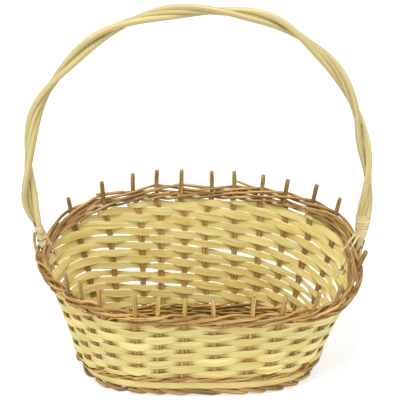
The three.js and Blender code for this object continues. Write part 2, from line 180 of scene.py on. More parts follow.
def wall_point(turn, z):
    """Middle of the wall: the body's superellipse, blended to the rim's by height and
    drawn in to the foot below."""
    rim = rim_point(turn)
    power = 2 / BODY_SQUARENESS
    body_x = BODY_HALF_LENGTH * signed_power(np.cos(turn), power)
    body_y = BODY_HALF_DEPTH * signed_power(np.sin(turn), power)
    rise = np.maximum(0, (z - BODY_LEVEL) / (rim[..., 2] - BODY_LEVEL))
    open_out = rise * (1 - WALL_HOLLOW) + rise * rise * WALL_HOLLOW
    tuck = 1 - smooth(FOOT_TOP, UNDER_CURVE_TOP, z)
    x = body_x + (rim[..., 0] - body_x) * open_out - tuck * FOOT_INSET_LENGTH * body_x / BODY_HALF_LENGTH
    y = body_y + (rim[..., 1] - body_y) * open_out - tuck * FOOT_INSET_DEPTH * body_y / BODY_HALF_DEPTH
    return np.stack([x, y, z + 0 * x], -1)


def wall_frame(turn, z):
    """Place on the wall with its outward and upward directions, from small differences."""
    turn, z = np.broadcast_arrays(np.asarray(turn, float), np.asarray(z, float))
    up = unit(wall_point(turn, z + 0.5) - wall_point(turn, z - 0.5))
    along = wall_point(turn + 0.002, z) - wall_point(turn - 0.002, z)
    return wall_point(turn, z), unit(np.cross(along, up)), up


RIM_TURNS = np.linspace(0, TURN, 1441)
RIM_LENGTHS = running_length(rim_point(RIM_TURNS))
RIM_LENGTH = RIM_LENGTHS[-1]


def turn_at_y(y, on_right):
    """Place round the rim where the end of the basket crosses a given Y."""
    points = rim_point(RIM_TURNS)
    at_end = (np.cos(RIM_TURNS) > 0.5) if on_right else (np.cos(RIM_TURNS) < -0.5)
    miss = np.where(at_end & (RIM_TURNS < TURN / 2), np.abs(points[:, 1] - y), np.inf)
    return RIM_TURNS[np.argmin(miss)]


def post_lengths():
    """Lengths along the rim of all posts: the back ones from the right foot of the handle
    to the left one, then on round the left end, the front and the right end."""
    right = np.interp(turn_at_y(HANDLE_RIGHT_Y, True), RIM_TURNS, RIM_LENGTHS)
    left = np.interp(turn_at_y(HANDLE_LEFT_Y, False), RIM_TURNS, RIM_LENGTHS)
    back = np.cumsum([0] + BACK_SPACINGS) / sum(BACK_SPACINGS)
    front = np.cumsum([0] + FRONT_SPACINGS) / sum(FRONT_SPACINGS)
    over_back = right + (left - right) * back[:-1]
    over_front = left + (RIM_LENGTH - left + right) * front
    return np.concatenate([over_back, over_front])


POST_LENGTHS = post_lengths()


def turn_at(post):
    """Turn round the basket at a post number, which may lie between two posts."""
    laps = np.floor(np.asarray(post, float) / POSTS)
    length = np.interp(post - laps * POSTS, np.arange(POSTS + 1), POST_LENGTHS)
    over = np.floor(length / RIM_LENGTH)
    return np.interp(length - over * RIM_LENGTH, RIM_LENGTHS, RIM_TURNS) + TURN * (laps + over)


# Uprights that stand aside of their tips lower down the wall, in shares of a spacing: posts
# from the right foot of the handle to the left one. They move over between two depths.
MID_SHIFTS = [0, -0.24, -0.2, -0.13, -0.06, -0.02, 0.29, -0.17, -0.22, -0.26, -0.09, -0.08, 0]
SHIFTED_DEPTH = 50
UNSHIFTED_DEPTH = 5


def turn_on_wall(post, z):
    """Turn round the basket at a post number and a height: the place of the tip, moved aside
    below the border."""
    post = np.asarray(post, float)
    top = rim_top(turn_at(post))
    share = 1 - smooth(top - SHIFTED_DEPTH, top - UNSHIFTED_DEPTH, z)
    shift = np.interp(post % POSTS, np.arange(len(MID_SHIFTS)), MID_SHIFTS)
    return turn_at(post + shift * share)


def backness(turn):
    """0 at the front of the rim and 1 at its back, rising with the sine of the turn."""
    return smooth(-0.9, 0.9, np.sin(turn))


def border_depth(turn):
    """Depth of the border, blended from the front to the back."""
    return FRONT_BORDER + (BACK_BORDER - FRONT_BORDER) * backness(turn)


# Extra swing of what passes the two feet of the handle, and its reach in posts.
HANDLE_ROOM = 0.4
HANDLE_ROOM_REACH = 0.3


def handle_room(post):
    """Factor of the swing: 1, and a bell more at the posts of the handle's feet."""
    from_right = np.minimum(post % POSTS, POSTS - post % POSTS)
    apart = np.minimum(np.abs(post % POSTS - LEFT_FOOT), from_right)
    return 1 + HANDLE_ROOM * np.exp(-((apart / HANDLE_ROOM_REACH) ** 2))


def round_profile(sides):
    """Circle of unit radius."""
    angle = TURN * (np.arange(sides) + 0.5) / sides
    return np.stack([np.cos(angle), np.sin(angle)], -1)


def flat_profile():
    """Section of a flat strip of unit half sizes: flat faces between narrow rounded edges."""
    across = [1, 0.985, 0.95, 0.91, 0, -0.91, -0.95, -0.985]
    through = [0, 0.75, 1, 1, 1, 1, 1, 0.75]
    outer = np.stack([across, through], -1)
    return np.concatenate([outer, -outer])


def carry(centre, first, second, profile, first_size, second_size):
    """Profile carried along a path: centre + first * x * size + second * y * size."""
    first_part = first[:, None] * (profile[:, 0] * np.reshape(first_size, (-1, 1)))[..., None]
    second_part = second[:, None] * (profile[:, 1] * np.reshape(second_size, (-1, 1)))[..., None]
    return centre[:, None] + first_part + second_part


def cut_ends(sizes, share=0.82):
    """Sizes with the first and the last drawn in a little, as at a cut end."""
    sizes = np.array(sizes, float)
    sizes[[0, -1]] *= share
    return sizes


def strand(grid, tone, seed, shade=None):
    """One closed length of rod or strip: its grid of points, its tone, its painted shade and
    the seeded start of its grain."""
    rows, points = grid.shape[:2]
    tones = np.broadcast_to(np.reshape(tone, (-1, 1)), (rows, points))
    shades = np.zeros((rows, points)) if shade is None else shade
    start = np.random.default_rng(seed).uniform(0, 40)
    return {"grid": grid, "tone": tones, "shade": shades, "start": start}


def volume(grid):
    """Six times the volume that the side walls of a grid enclose, with its sign."""
    a = grid[:-1]
    b = np.roll(grid, -1, 1)[:-1]
    c = np.roll(grid, -1, 1)[1:]
    d = grid[1:]
    middle = grid.mean((0, 1))
    first = np.einsum("ijk,ijk->", a - middle, np.cross(b - middle, c - middle))
    return first + np.einsum("ijk,ijk->", a - middle, np.cross(c - middle, d - middle))


def strand_faces(grid, base):
    """Side faces, end faces and UV corners of a grid that is closed round its sections."""
    rows, points = grid.shape[:2]
    row, point = np.meshgrid(np.arange(rows - 1), np.arange(points), indexing="ij")
    round_face = [(row, point), (row, point + 1), (row + 1, point + 1), (row + 1, point)]
    corners = np.stack([r * points + p % points for r, p in round_face], -1).reshape(-1, 4)
    spread = np.stack([np.stack(corner, -1) for corner in round_face], 2).reshape(-1, 4, 2)
    ends = np.stack([np.arange(points)[::-1], (rows - 1) * points + np.arange(points)])
    if volume(grid) < 0:
        corners = corners[:, ::-1]
        spread = spread[:, ::-1]
        ends = ends[:, ::-1]
    return corners + base, ends + base, spread


def find_shift():
    """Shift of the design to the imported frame, read from the middle base stick."""
    low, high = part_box("base_stick_2")
    middle = np.array((low + high) / 2) / MM
    return np.array([middle[0], middle[1], 0.0])


SHIFT = find_shift()


def place_in_frame(points):
    """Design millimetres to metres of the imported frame, whose origin is under its middle."""
    return (points + SHIFT) * MM


def make_piece(name, strands, finishes, nodes):
    """One object from its strands, with UV in decimetres along and round each strand. The
    sides take the first finish and the ends the last."""
    points = []
    faces = []
    slots = []
    uvs = []
    tones = []
    shades = []
    base = 0
    for part in strands:
        grid = part["grid"]
        sides, ends, spread = strand_faces(grid, base)
        along = running_length(grid.mean(1))
        section = grid[len(grid) // 2]
        around = running_length(np.concatenate([section, section[:1]]))
        uv = np.stack([along[spread[..., 0]] / 100 + part["start"], around[spread[..., 1]] / 100], -1)
        points.append(grid.reshape(-1, 3))
        faces += sides.tolist() + ends.tolist()
        slots.append(np.zeros(len(sides), int))
        slots.append(np.full(2, len(finishes) - 1))
        uvs.append(uv.reshape(-1, 2))
        uvs.append(np.full((2 * grid.shape[1], 2), part["start"]))
        tones.append(part["tone"].reshape(-1))
        shades.append(part["shade"].reshape(-1))
        base += grid.shape[0] * grid.shape[1]
    mesh = bpy.data.meshes.new(name)
    mesh.from_pydata(place_in_frame(np.concatenate(points)).tolist(), [], faces)
    mesh.polygons.foreach_set("material_index", np.concatenate(slots).astype(np.int32))
    mesh.polygons.foreach_set("use_smooth", np.ones(len(faces), bool))
    layer = mesh.uv_layers.new(name="UVMap")
    layer.data.foreach_set("uv", np.concatenate(uvs).astype(np.float32).ravel())
    for label, values in (("tone", tones), ("shade", shades)):
        attribute = mesh.attributes.new(label, "FLOAT", "POINT")
        attribute.data.foreach_set("value", np.concatenate(values).astype(np.float32))
    mesh.update()
    piece = bpy.data.objects.new(name, mesh)
    bpy.context.scene.collection.objects.link(piece)
    for finish in finishes:
        mesh.materials.append(finish)
    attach(piece, "root")
    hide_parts(*nodes)


def colour(code):
    """sRGB hex colour to linear RGBA."""
    parts = [int(code[k : k + 2], 16) / 255 for k in (1, 3, 5)]
    return [c / 12.92 if c <= 0.04045 else ((c + 0.055) / 1.055) ** 2.4 for c in parts] + [1.0]


def add(tree, kind, inputs=None, **settings):
    """Adds a node, sets its properties, and sets or links its inputs."""
    node = tree.nodes.new(kind)
    for key, value in settings.items():
        setattr(node, key, value)
    for key, value in (inputs or {}).items():
        if isinstance(value, bpy.types.NodeSocket):
            tree.links.new(value, node.inputs[key])
        else:
            node.inputs[key].default_value = value
    return node


def new_material(name):
    """Empty material and its node tree."""
    material = bpy.data.materials.new(name)
    material.use_nodes = True
    material.node_tree.nodes.clear()
    return material, material.node_tree


def streaks(tree, length, width, detail=3.0, seed=0.0):
    """Noise drawn out along a strand: length and width of a streak in millimetres."""
    uv = add(tree, "ShaderNodeUVMap", uv_map="UVMap")
    mapping = add(
        tree, "ShaderNodeMapping",
        {"Vector": uv.outputs[0], "Location": (seed, seed, seed), "Scale": (100 / length, 100 / width, 1)},
    )
    noise = add(tree, "ShaderNodeTexNoise", {"Vector": mapping.outputs[0], "Scale": 1.0, "Detail": detail})
    return noise.outputs[0]


# Bare willow reflects less than polished wood. The grain stands up by its depth in metres.
GLOSS = 0.22
GRAIN_DEPTH = 0.0004


def willow_finish(name, stops, patches, streak, roughness, shade_code, bump, tone_share):
    """Willow surface: grain streaks along the strand coloured by stops of position and hex
    colour, patches of other tints, a tone for each length, painted shade in recesses from the
    shade attribute, and a fine bump from the grain."""
    material, tree = new_material(name)
    grain = streaks(tree, streak[0], streak[1], seed=1.7)
    ramp = add(tree, "ShaderNodeValToRGB", {0: grain})
    elements = ramp.color_ramp.elements
    while len(elements) < len(stops):
        elements.new(0.5)
    for element, (position, code) in zip(elements, stops):
        element.position = position
        element.color = colour(code)
    tint = ramp.outputs[0]
    for place, (code, length, width, low, high, most) in enumerate(patches):
        patch = streaks(tree, length, width, 2.0, seed=5.3 * (place + 1))
        share = add(
            tree, "ShaderNodeMapRange",
            {"Value": patch, "From Min": low, "From Max": high, "To Min": 0.0, "To Max": most},
        )
        tint = add(
            tree, "ShaderNodeMix", {0: share.outputs[0], 6: tint, 7: colour(code)}, data_type="RGBA"
        ).outputs[2]
    tone = add(tree, "ShaderNodeAttribute", attribute_name="tone")
    value = add(
        tree, "ShaderNodeMapRange",
        {"Value": tone.outputs["Fac"], "From Min": -1.0, "From Max": 1.0,
         "To Min": 1 - tone_share, "To Max": 1 + tone_share},
    )
    tint = add(
        tree, "ShaderNodeHueSaturation", {"Color": tint, "Value": value.outputs[0]}
    ).outputs[0]
    # Painted shade: the shade attribute mixes the colour towards the shade colour in recesses and on faces
    # that stand in shadow.
    shade = add(tree, "ShaderNodeAttribute", attribute_name="shade")
    tint = add(
        tree, "ShaderNodeMix", {0: shade.outputs["Fac"], 6: tint, 7: colour(shade_code)},
        data_type="RGBA", blend_type="MULTIPLY",
    ).outputs[2]
    relief = add(
        tree, "ShaderNodeBump", {"Height": grain, "Strength": bump, "Distance": GRAIN_DEPTH}
    )
    shader = add(
        tree, "ShaderNodeBsdfPrincipled",
        {"Base Color": tint, "Roughness": roughness, "Normal": relief.outputs[0],
         "Specular IOR Level": GLOSS},
    )
    add(tree, "ShaderNodeOutputMaterial", {"Surface": shader.outputs[0]})
    return material


# Chip: strip shaved from pale wood with a plane and left unvarnished. Long straight grain, a
# straw colour with greenish and honey patches, and a soft sheen.
def shaved_chip():
    return willow_finish(
        "shaved_chip",
        [(0.26, "#c3aa5c"), (0.42, "#dbc87d"), (0.58, "#e6d68b"), (0.76, "#f4eabc")],
        [("#d3d588", 70, 7, 0.5, 0.74, 0.6), ("#cfa44f", 50, 6, 0.52, 0.74, 0.6),
         ("#f4ecc8", 35, 5, 0.56, 0.76, 0.5), ("#a07a3a", 26, 1.5, 0.66, 0.74, 0.5)],
        # c9aa66 is the colour of the painted shade in the chip's recesses.
        (80, 1.3), 0.5, "#c9aa66", 0.3, 0.1,
    )


# Dark bark: thick willow dried with its bark on. Olive brown and satin, wrinkled lengthwise,
# with orange patches and dark spots at the buds.
def dark_bark():
    return willow_finish(
        "dark_bark",
        [(0.25, "#6d5122"), (0.42, "#957540"), (0.58, "#b3925a"), (0.8, "#cfb07a")],
        [("#9c6632", 30, 8, 0.5, 0.74, 0.5), ("#9b8b50", 45, 9, 0.5, 0.8, 0.5),
         ("#4a3216", 7, 4, 0.66, 0.74, 0.8)],
        (30, 1.1), 0.45, "#8a6a44", 0.5, 0.26,
    )


# Pale bark: thinner rods, dried paler. Tan, with pinkish and olive patches and fine wrinkles.
def pale_bark():
    return willow_finish(
        "pale_bark",
        [(0.25, "#5e3d14"), (0.42, "#936d36"), (0.58, "#c29c60"), (0.8, "#e2c48a")],
        [("#9a6e40", 40, 8, 0.5, 0.74, 0.6), ("#a3955a", 55, 9, 0.54, 0.8, 0.5),
         ("#4a3014", 8, 3, 0.66, 0.74, 0.8)],
        (35, 1.1), 0.42, "#8a6a44", 0.5, 0.24,
    )


# Floor rod: thin split rods of the base, golden and darker than the walls.
def floor_rod():
    return willow_finish(
        "floor_rod",
        [(0.25, "#94732f"), (0.42, "#b8964c"), (0.58, "#c9ad66"), (0.8, "#dcc78c")],
        [("#a3975a", 30, 8, 0.5, 0.78, 0.6), ("#7b5626", 16, 3, 0.6, 0.7, 0.6)],
        # 8a6a44 is the colour of the painted shade in the dips of the mat.
        (25, 1.3), 0.5, "#8a6a44", 0.4, 0.24,
    )


# Peeled willow: rods boiled and stripped of bark, so the bare wood is smooth and pale, with a
# silky sheen, faint streaks and small dark knots.
def peeled_rod():
    return willow_finish(
        "peeled_rod",
        [(0.25, "#ab9a62"), (0.44, "#c2b27a"), (0.6, "#cfc08a"), (0.8, "#ded2a8")],
        [("#b99c5e", 70, 8, 0.5, 0.78, 0.6), ("#c6c28a", 50, 8, 0.52, 0.8, 0.5),
         ("#6b4c22", 9, 4, 0.72, 0.78, 0.8)],
        (110, 1.5), 0.4, "#a58f50", 0.3, 0.12,
    )


# Skein: a flat ribbon split from peeled willow and wound damp. Paler than the rods, dull.
def split_skein():
    return willow_finish(
        "split_skein",
        [(0.25, "#a99660"), (0.45, "#cfc08d"), (0.6, "#ddd0a0"), (0.8, "#ece3bd")],
        [("#b8985f", 20, 5, 0.52, 0.76, 0.6)],
        (40, 1.2), 0.5, "#a58f5c", 0.4, 0.08,
    )


# Cut end: knife cut across a rod, greyish wood round a darker pith.
def cut_end():
    return willow_finish(
        "cut_end",
        [(0.3, "#8b7550"), (0.6, "#a08b64"), (0.8, "#b7a47e")],
        [], (1.2, 1.2), 0.7, "#8a6a44", 0.2, 0.1,
    )


CHIP = shaved_chip()
DARK_BARK = dark_bark()
BARK = pale_bark()
FLOOR_ROD = floor_rod()
PEELED = peeled_rod()
SKEIN = split_skein()
CUT = cut_end()


# Chip rows.
CHIP_PROFILE = flat_profile()
CHIP_LENGTH_POSTS = 8
STRAIGHTNESS = 0.96
CHIP_LAP = 0.2
CHIP_CLEARANCE = 0.15
CHIP_CROWN = 0.05
# Strength of the painted shade on a strip's outside where it dips in behind an upright.
CHIP_RECESS_SHADE = 0.42
ROW_GAP = 0.1
ROW_MORE_GAP_AT_BACK = 0.7

# A row is built only where enough of its width shows, over the upsett or under the border, and
# past enough posts.
LEAST_CHIP_WIDTH = 4.0
LEAST_WIDTH_OVER_UPSETT = 1.5
LEAST_POSTS = 0.8
LOW_LIMIT = 25.4
INTO_BORDER = 0.8

# Climb of the rows at each post from the right foot of the handle, once round. They slant:
# they rise to the left at the back and to the right at the front.
ROW_CLIMB = [
    -47.2, -45, -36.5, -28, -20, -14.8, -7.7, -4.2, 0, 1.5, 6.4, 13, 14, 13, 11.5, 9.5, 7.2, 4.6, 2.4,
    4.8, 7.6, 8.4, 11.6, 12.4, 14.6, 17.6, 20.5, 23.5, 26.4,
]
LOWEST_ROW = -3
HIGHEST_ROW = 18

# Places where a row stands apart from the one over it: row, post, reach in posts and the gap,
# of which the lower row gives the larger share.
LOOSE_PLACES = [
    (2, 8.8, 1.6, 4.0), (4, 8.9, 1.8, 4.4), (8, 4.1, 2.3, 4.0), (9, 9.4, 1.2, 1.8), (7, 10.4, 0.9, 2.2),
    (7, 1.5, 1.0, 3.0), (6, 1.4, 0.9, 3.4), (8, 1.4, 0.9, 2.6), (5, 2.0, 1.1, 3.0), (10, 2.4, 1.2, 2.0),
]
LOWER_SHARE = 0.65


def row_edges(row, post):
    """Lower and upper edge of a row. Its level is its number times the pitch and the climb at
    that post, its width narrows at the crossings between posts, and it is cut short under the
    border and over the upsett."""
    turn = turn_at(post)
    back = backness(turn)
    pitch = ROW_PITCH_FRONT + (ROW_PITCH_BACK - ROW_PITCH_FRONT) * back
    back_width = np.where(np.cos(np.pi * (post + row)) < 0, CHIP_BACK_WIDTH, CHIP_BACK_OUTSIDE_WIDTH)
    width = CHIP_FRONT_WIDTH + (back_width - CHIP_FRONT_WIDTH) * back + drift(post, 330 + row, 9, 0.5)
    at_post = np.abs(np.cos(np.pi * post)) ** (0.5 + 0.1 * back)
    between = pitch - ROW_GAP - ROW_MORE_GAP_AT_BACK * back
    half = (between + (width - between) * at_post) / 2
    climb = np.interp(post, np.arange(POSTS + 1), ROW_CLIMB)
    level = FIRST_ROW + pitch * row + climb + drift(post, 300 + row, 7.3, 0.55)
    high = level + half
    low = level - half
    for number, place, reach, drop in LOOSE_PLACES:
        there = drop * np.exp(-np.abs(((post % POSTS) - place) / reach) ** 2.5)
        if number == row:
            high = high - LOWER_SHARE * there
        if number == row - 1:
            low = low + (1 - LOWER_SHARE) * there
    high_limit = rim_top(turn) - border_depth(turn) + INTO_BORDER
    return np.maximum(low, LOW_LIMIT), np.minimum(high, high_limit)


def row_runs(row):
    """Stretches of posts, within one lap from the right foot of the handle, on which a row is
    high enough to be seen. Both ends of a full lap are hidden at that foot."""
    posts = np.linspace(-CHIP_LAP / 2, POSTS + CHIP_LAP / 2, POSTS * STEPS_PER_POST + 1)
    low, high = row_edges(row, posts)
    fits = high - low > np.where(low > LOW_LIMIT, LEAST_CHIP_WIDTH, LEAST_WIDTH_OVER_UPSETT)
    change = np.diff(np.concatenate([[0], fits.astype(int), [0]]))
    starts = posts[np.flatnonzero(change > 0)]
    ends = posts[np.flatnonzero(change < 0) - 1]
    return [(first, last) for first, last in zip(starts, ends) if last - first > LEAST_POSTS]


def chip_length(row, first, last, number):
    """One length of chip: its offset from the wall swings out and in past the posts as the
    arcsine of a cosine, in nearly straight runs. Its ends lie half a thickness in and out, so
    that two lengths lap. It has a slight crown, and its outside has painted shade where it dips
    in behind an upright."""
    count = int(math.ceil((last - first) * STEPS_PER_POST)) + 1
    post = np.linspace(first, last, count)
    low, high = row_edges(row, post)
    turn = turn_at(post)
    sway = np.arcsin(STRAIGHTNESS * np.cos(np.pi * (post + row))) / math.asin(STRAIGHTNESS)
    reach = UPRIGHT_DEPTH / 2 + CHIP_THICKNESS / 2 + CHIP_CLEARANCE
    lap = smooth(last - 1, last - 0.2, post) - (1 - smooth(first + 0.2, first + 1, post))
    offset = reach * handle_room(post) * sway + 0.5 * CHIP_THICKNESS * lap
    level = (low + high) / 2
    place, out, up = wall_frame(turn_on_wall(post, level), level)
    lean = drift(post, 640 + 9 * row + number, 2.7, 0.07)[:, None]
    across = unit(up + out * lean)
    through = unit(out - up * lean)
    centre = place + out * offset[:, None]
    half = (high - low) / 2 / up[:, 2]
    grid = carry(centre, across, through, CHIP_PROFILE, half, np.full(count, CHIP_THICKNESS / 2))
    crown = CHIP_CROWN * sway[:, None] * (1 - CHIP_PROFILE[:, 0] ** 2)
    grid += out[:, None] * crown[..., None]
    # Painted shade: the outside face darkens where the strip dips behind an upright. The shade reaches
    # further along the strip's middle than along its edges, so it ends in a point.
    depth = -sway[:, None] - 0.1 - 0.45 * np.abs(CHIP_PROFILE[:, 0])
    recess = np.where(CHIP_PROFILE[:, 1] >= 0, CHIP_RECESS_SHADE * smooth(0, 0.5, depth), 0)
    # Tone: random for each length, with painted light and shade added. It is lighter at the back, whose
    # inside lies in the basket's shade, and darker at the front, which the lamps light fully.
    tone = np.random.default_rng(900 + 17 * row + number).uniform(-1, 1) - 0.4 + 1.4 * backness(turn)
    return strand(grid, tone, 1000 + 31 * row + number, recess)


def row_lengths(row, first, last):
    """Lengths of chip on one stretch of a row, joined at posts that hide the joint: outside
    the upright at the back and inside it at the front."""
    count = max(1, round((last - first + row % 3) / CHIP_LENGTH_POSTS))
    marks = np.linspace(first, last, count + 1)
    inner = marks[1:-1] + (row * 5) % 4 - 1.5
    even = 2 * np.round((inner + row) / 2) - row
    odd = 2 * np.round((inner + row - 1) / 2) - row + 1
    marks[1:-1] = np.where(backness(turn_at(inner)) > 0.5, even, odd)
    half_lap = CHIP_LAP / 2
    return [chip_length(row, marks[k] - half_lap * (k > 0), marks[k + 1] + half_lap * (k < count - 1), k)
            for k in range(count)]


def build_rows():
    """All rows. Those below the first and above the last are grouped with them."""
    strands = [[] for number in range(ROWS)]
    for row in range(LOWEST_ROW, HIGHEST_ROW + 1):
        for first, last in row_runs(row):
            strands[min(max(row, 0), ROWS - 1)] += row_lengths(row, first, last)
    for number, lengths in enumerate(strands):
        name = f"{number + 1:02d}"
        make_piece(f"chip_row_{name}", lengths, [CHIP], [f"weave_strip_{name}"])


# Uprights of each side: name, post before the first one, way to the next post and the heights
# of the tips over the border.
UPRIGHT_SIDES = [
    ("back", LEFT_FOOT, -1, [17, 19, 20, 21, 20, 19, 20, 19, 18, 21, 18]),
    ("left", LEFT_FOOT, 1, [2, 2]),
    ("front", LEFT_FOOT + 2, 1, [18, 20, 20, 19, 21, 20, 19, 21, 20, 19, 18]),
    ("right", LEFT_FOOT + 13, 1, [3, 17]),
]
UPRIGHT_START = 1.4
UPRIGHT_ASIDE = 1.45
BESIDE_START = 12
BESIDE_ASIDE = 2.25

# Tips that lean out of the wall: post and how far. A strong lean takes both rods of the post
# along, and a slight one only the rod on the side of the post before.
LEANING_TIPS = {27: 3.5, 26: 2, 15: 2}
STRONG_LEAN = 3
THICK_UPRIGHTS = {27: 1.25}

# Uprights that lean along the wall as they rise: post and shift of the tip to the next post.
WALL_LEANS = {1: 5, 2: 6, 3: 4, 4: 4, 5: 3, 7: 1, 8: 1, 10: -1, 11: -1}
TIP_STRAIGHTENING = 0.3
TIP_THICKENING = 0.3
KNOT_SPACING = 55
KNOT_SWELLING = 0.05
ROD_PROFILE = round_profile(10)
THIN_PROFILE = round_profile(8)
MAT_PROFILE = round_profile(6)


def upright_profile():
    """Oval section of unit half width, less deep than it is wide and a little squared."""
    circle = round_profile(12)
    return signed_power(circle, 0.8) * np.array([1, UPRIGHT_DEPTH / UPRIGHT_WIDTH])


def upright_strand(post, low, high, width, beside, seed, tone):
    """Oval rod up the wall at a post, moved sideways along it, slightly bowed and tapered,
    with a swelling at each knot and a thicker, straighter tip that darkens at the back."""
    z = np.linspace(low, high, 44)
    turn = turn_at(post)
    place, out, up = wall_frame(turn_on_wall(post, z), z)
    across = unit(np.cross(up, out))
    top = rim_top(turn)
    aside = beside + drift(z, seed, 70, 0.3) + WALL_LEANS.get(post, 0) * smooth(50, top + 20, z)
    lean = LEANING_TIPS.get(post, 0)
    leaning = lean * smooth(high - 34, high + 8, z) * (beside < 0 or lean > STRONG_LEAN)
    off = drift(z, seed + 500, 60, 0.1) - TIP_STRAIGHTENING * np.maximum(0, z - top + 6) + leaning
    centre = place + across * aside[:, None] + out * off[:, None]
    radius = width / 2 * (1.04 - 0.1 * (z - low) / (high - low))
    from_knot = (z - low - 60) % KNOT_SPACING - 20
    radius = radius * (1 + KNOT_SWELLING * np.exp(-(from_knot / 2.5) ** 2))
    radius = cut_ends(radius * (1 + TIP_THICKENING * smooth(top - 26, top - 2, z)), 0.9)
    grid = carry(centre, across, out, upright_profile(), radius, radius)
    dark_tip = 0.8 * backness(turn) * smooth(top - 14, top, z)
    return strand(grid, tone + np.random.default_rng(seed).uniform(-0.3, 0.3) - dark_tip, seed)


def build_uprights():
    """Each upright and the thinner rod beside it, which ends under the border."""
    for side, before, way, tips in UPRIGHT_SIDES:
        for number, tip in enumerate(tips, 1):
            post = before + way * number
            turn = turn_at(post)
            top = rim_top(turn)
            hand = 1 if (post * 7) % 3 else -1
            tone = 1.0 - 2.3 * abs(math.cos(turn)) ** 1.5
            width = UPRIGHT_WIDTH * THICK_UPRIGHTS.get(post, 1)
            aside = -hand * UPRIGHT_ASIDE
            main = upright_strand(post, UPRIGHT_START, top + tip, width, aside, 60 + post, tone)
            bound = top - border_depth(turn) + 3
            width = BESIDE_WIDTH - 0.6 * (1 - backness(turn))
            aside = hand * BESIDE_ASIDE
            second = upright_strand(post, BESIDE_START, bound, width, aside, 160 + post, tone)
            name = f"{side}_{number}"
            make_piece(f"upright_{name}", [main, second], [DARK_BARK, CUT], [f"stake_{name}"])


def rod_tone(seed):
    """Tone of a rod, unlike the tones of those with the next seeds."""
    return 1.2 * np.sin(2.4 * seed)


def rod_along(posts, level, offset, radius, seed, tone, profile=ROD_PROFILE):
    """Round rod that runs round the basket at given levels and offsets from the wall."""
    place, out, up = wall_frame(turn_on_wall(posts, level), level)
    centre = place + out * np.reshape(offset, (-1, 1))
    radius = cut_ends(np.broadcast_to(radius, len(posts)))
    return strand(carry(centre, out, up, profile, radius, radius), tone, seed)


def waled_rod(lead, level, height, radius, way, post, seed, darker=0.0):
    """Rod of a three-rod wale: outside two posts and inside the next, one post behind the
    rod before it, slanting up or down on the outside as a sine of the same phase."""
    phase = TURN * (post - lead) / 3 - np.pi / 3
    outside = np.sin(np.clip(2.1 * np.cos(phase), -np.pi / 2, np.pi / 2))
    thick = radius * (1 + drift(post, seed, 11, 0.1))
    offset = (UPRIGHT_WIDTH / 2 + radius + 0.1) * outside * handle_room(post)
    climb = level + way * (height + drift(post, seed + 7, 3.3, 0.35)) * np.sin(phase)
    return rod_along(post, climb, offset, thick, seed, rod_tone(seed) - darker)


def posts_between(first, last):
    """Post numbers along part of a round."""
    return np.linspace(first, last, int((last - first) * STEPS_PER_POST))


# Lap of a rod over its own start, in posts.
ROD_LAP = 0.35


def lap_posts(first):
    """Post numbers of one rod, from its first one once round the basket."""
    posts = POSTS + ROD_LAP
    return np.linspace(first, first + posts, int(posts * STEPS_PER_POST) + 1)


# Wales of the border: depth of the upper one, height of the lower one over the border's lower
# edge and how much more at the back, and how far the rods slant.
UPPER_WALE_DEPTH = 4.3
LOWER_WALE_HEIGHT = 4.6
LOWER_WALE_MORE_AT_BACK = 0.7
WALE_SLANT = 2.6

# Thin rods between the wales, round the front: depth under the rim, and rise off their ends.
THIN_RIM_RADIUS = BORDER_ROD * 0.46
THIN_RODS_DEPTH = 8.4
THIN_RODS_RISE = 1.2

# Single rods between the two wales at the back: first and last post.
MIDDLE_RIM_RODS = [(-0.6, 7.1), (4.2, 12.4), (1.3, 5.6), (7.4, 11.2)]
MIDDLE_RODS_DEPTH = 9.5

# Rods inside the ends of the border: first and last post, and depth under the rim.
INNER_RIM_RODS = [
    (23.6, 30.4, 12), (24.4, 31.2, 15), (10.4, 16.6, 13), (9.8, 16, 16), (22.6, 29.6, 9), (24, 29, 6),
    (24.8, 30, 18),
]
INNER_RODS_SWING = 2.6

# Loose ends on the border: first and last post, height over the rim and offset at both.
LOOSE_RIM_ENDS = [
    (4.1, 4.95, -3, 4.5, 4, 4.5), (24.4, 25.1, -7, -9, 3.5, 8), (9.3, 10.1, -4, 1.5, 4, 4.5),
    (15.6, 16.3, -9, -11, 4, 6),
]
LOOSE_END_RADIUS = BORDER_ROD * 0.45
LOOSE_END_STEPS = 14


